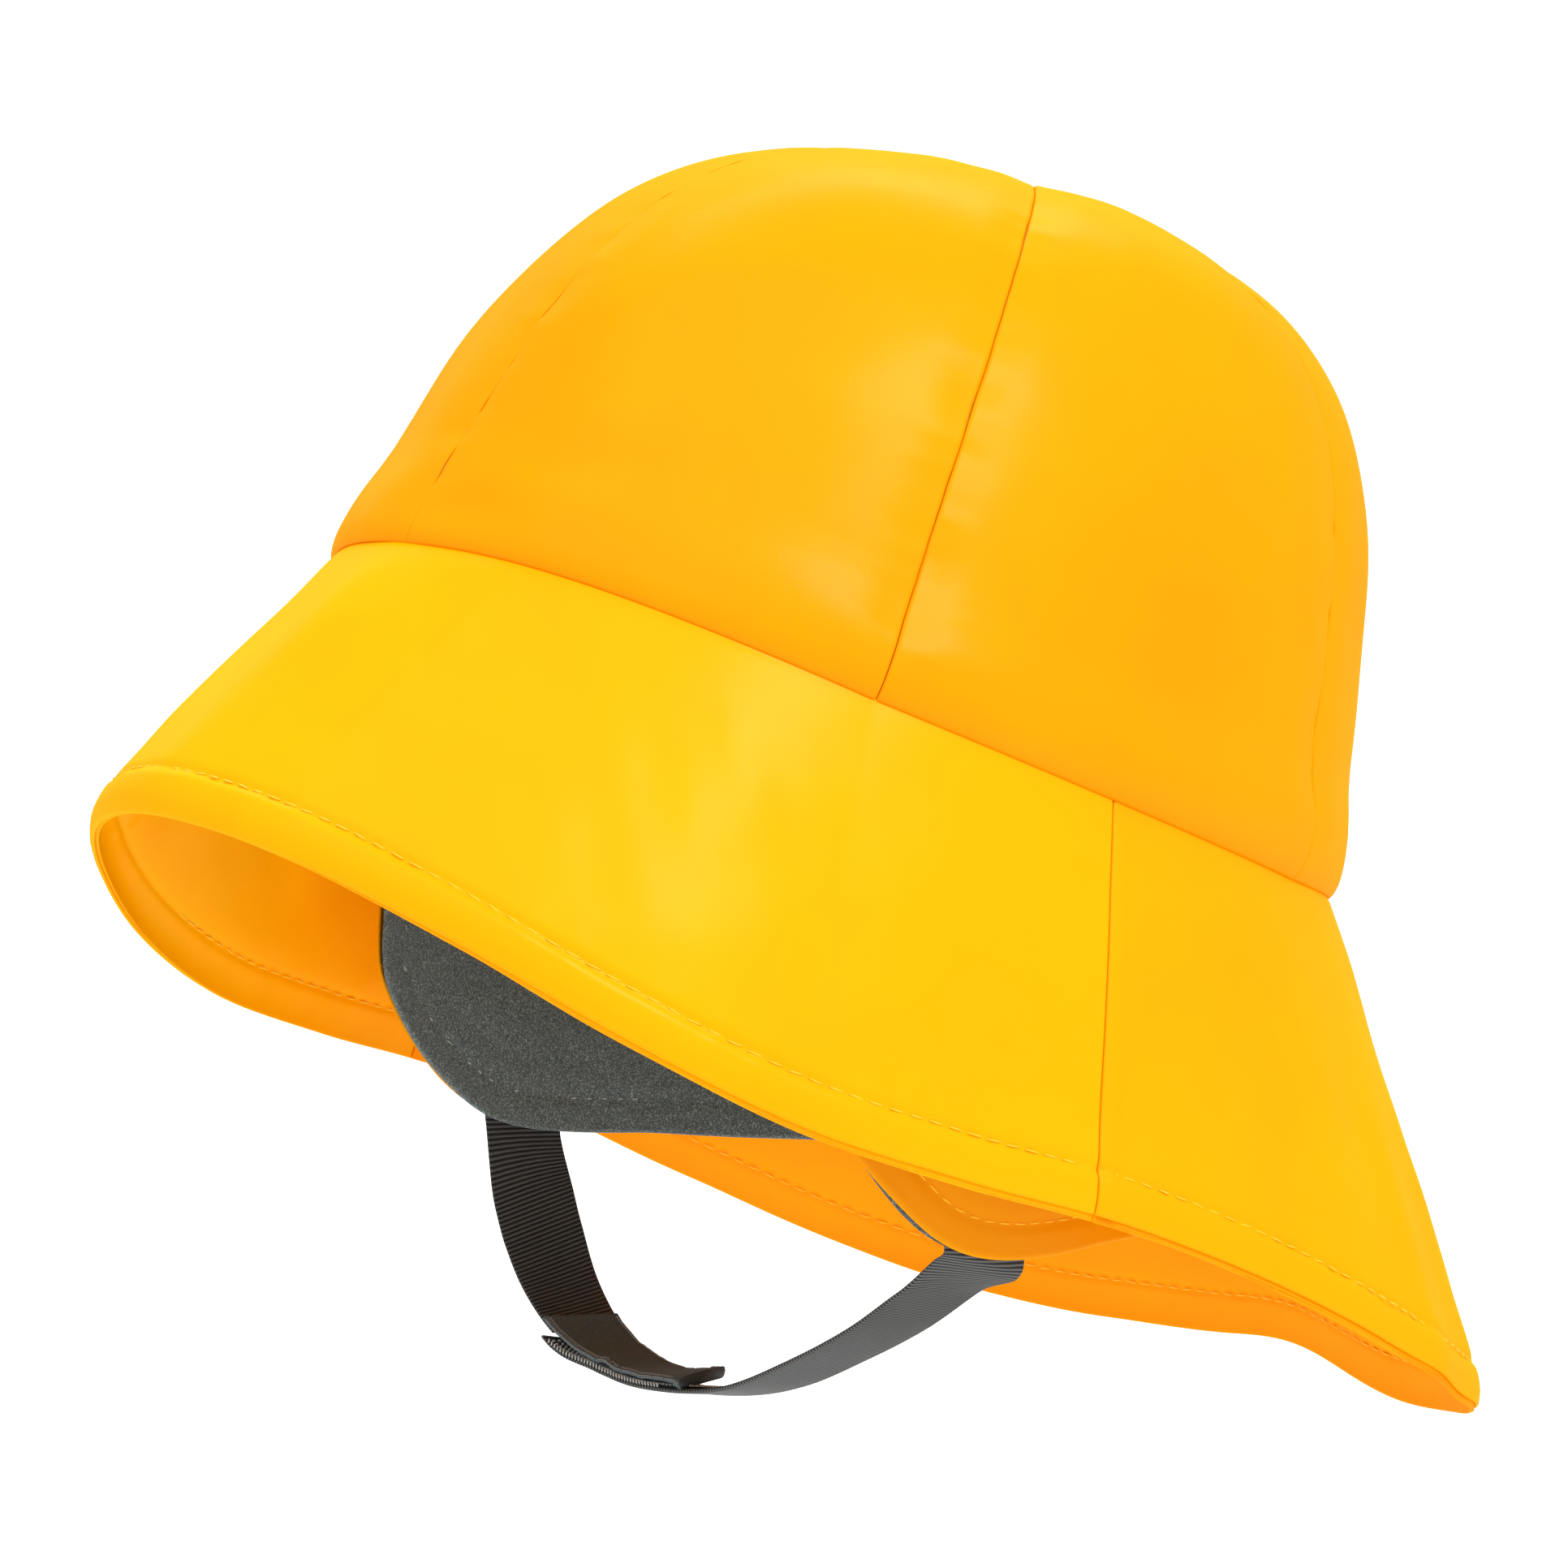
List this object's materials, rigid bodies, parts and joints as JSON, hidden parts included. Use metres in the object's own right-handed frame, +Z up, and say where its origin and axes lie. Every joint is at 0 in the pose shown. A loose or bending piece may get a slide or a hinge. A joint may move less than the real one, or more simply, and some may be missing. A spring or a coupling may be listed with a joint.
{
  "type": "sou'wester rain hat",
  "caption": "Child's sou'wester rain hat with a panelled crown, long-backed two-layer brim, fleece-lined ear flaps and a webbing chin strap with a hook and loop closure.",
  "frame": {"origin": "middle of the head opening, at the level of the seam between crown and brim", "axes": "+Z up as worn, the front of the hat faces -Y, +X is the wearer's left; the hat is tipped back about X as a head wears it"},
  "size_m": [0.209, 0.2379, 0.2243],
  "materials": {
    "coated_fabric": "soft satin waterproof coating",
    "fleece": "matt brushed fleece",
    "webbing": "matt ribbed webbing",
    "closure_tape": "dark woven tape"
  },
  "bodies": {
    "root": {"crown_panel_front_left": "coated_fabric", "crown_panel_side_left": "coated_fabric", "crown_panel_back_left": "coated_fabric", "crown_panel_back_right": "coated_fabric", "crown_panel_side_right": "coated_fabric", "crown_panel_front_right": "coated_fabric", "brim_front_upper": "coated_fabric", "brim_back_upper": "coated_fabric", "brim_front_under": "coated_fabric", "brim_back_under": "coated_fabric", "ear_flap_shell_left": "coated_fabric", "ear_flap_shell_right": "coated_fabric", "ear_flap_lining_left": "fleece", "ear_flap_lining_right": "fleece", "chin_strap_left": "webbing", "chin_strap_right": "webbing", "loop_tape": "closure_tape", "hook_tape": "closure_tape"}
  },
  "joints": []
}
